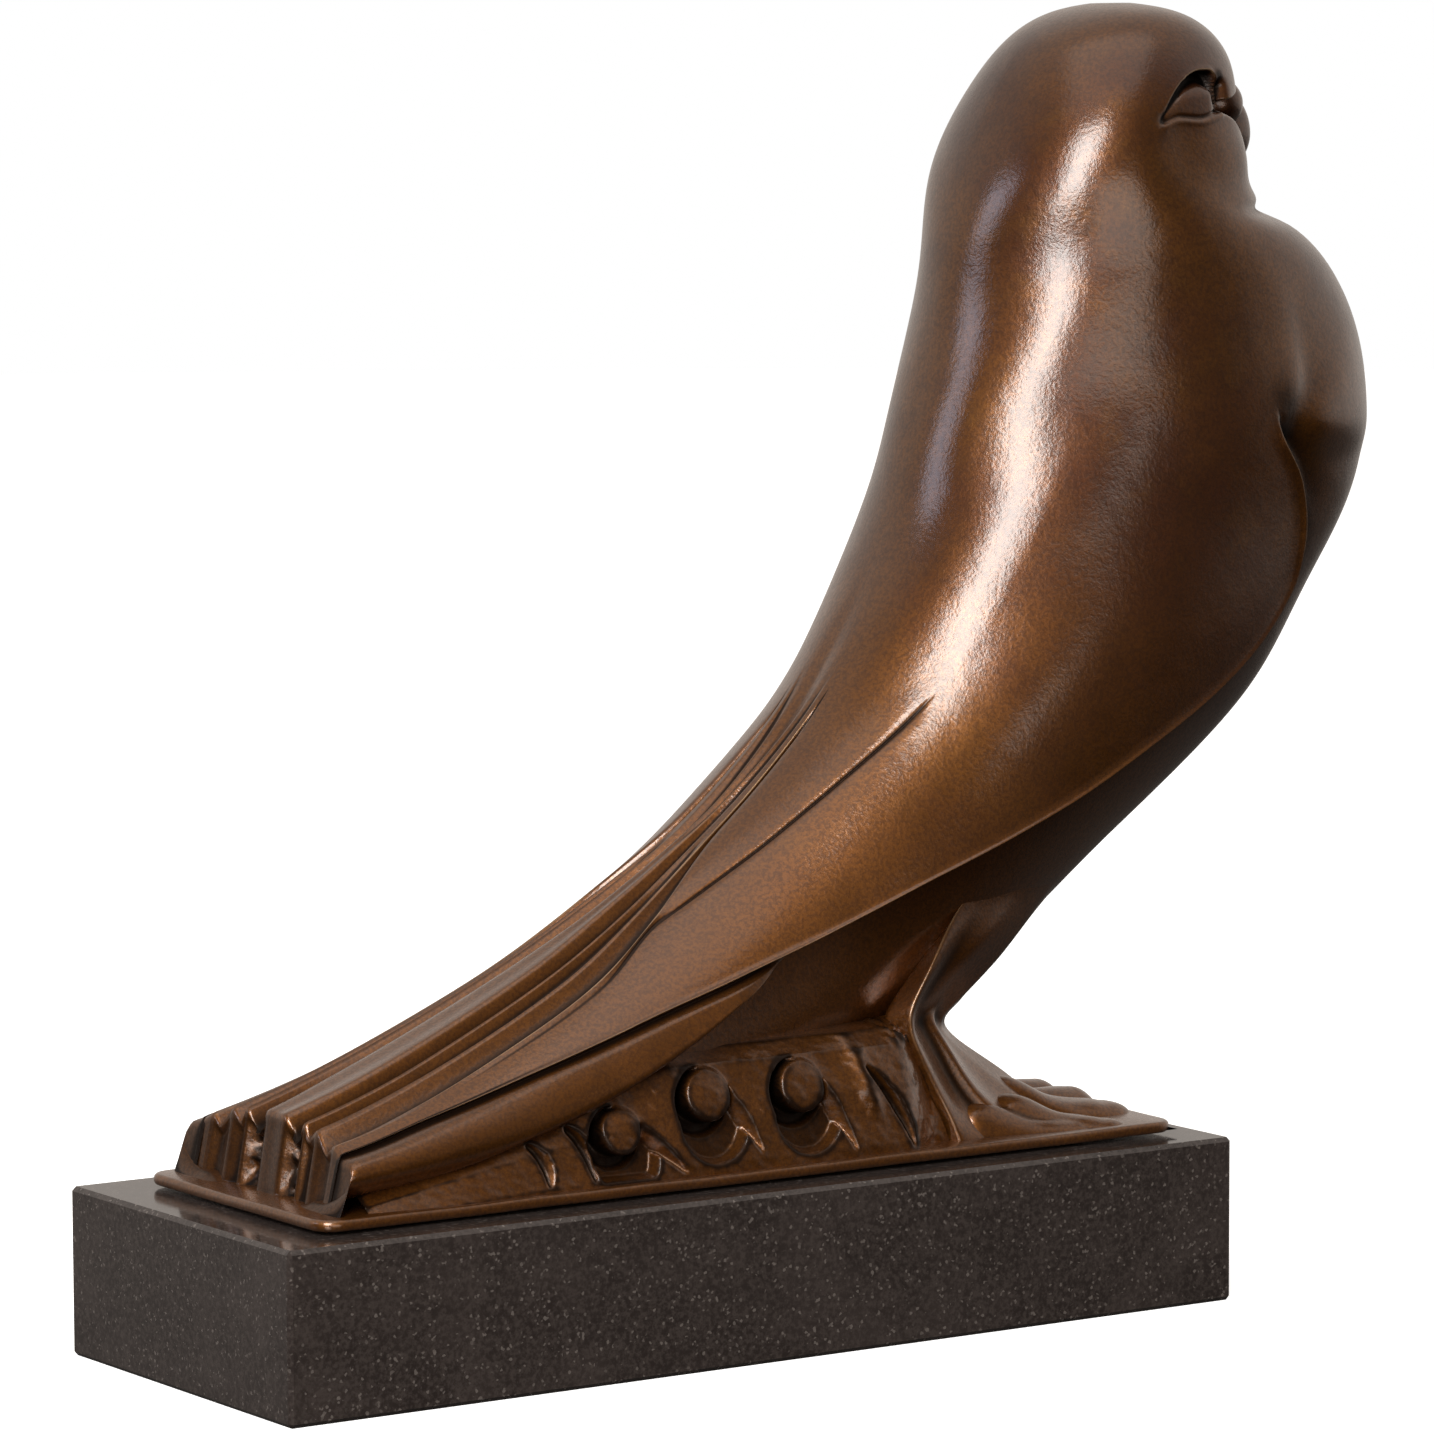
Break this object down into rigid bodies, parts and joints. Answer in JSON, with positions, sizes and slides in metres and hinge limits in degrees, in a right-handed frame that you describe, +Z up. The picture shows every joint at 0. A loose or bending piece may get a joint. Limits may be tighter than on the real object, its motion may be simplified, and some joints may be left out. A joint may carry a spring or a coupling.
{
  "type": "bronze pigeon sculpture",
  "caption": "Stylised standing pigeon with a swept tail, cast in bronze with its carved ground, on a polished dark granite block",
  "frame": {"origin": "centre of the granite block's underside", "axes": "+X is the way the bird faces and the block's long way, +Y is to the bird's left, +Z is up"},
  "size_m": [0.3309, 0.1, 0.3093],
  "materials": {
    "bronze": "waxed brown patina",
    "granite": "polished"
  },
  "bodies": {
    "root": {"pigeon": "bronze", "stone_base": "granite"}
  },
  "joints": []
}
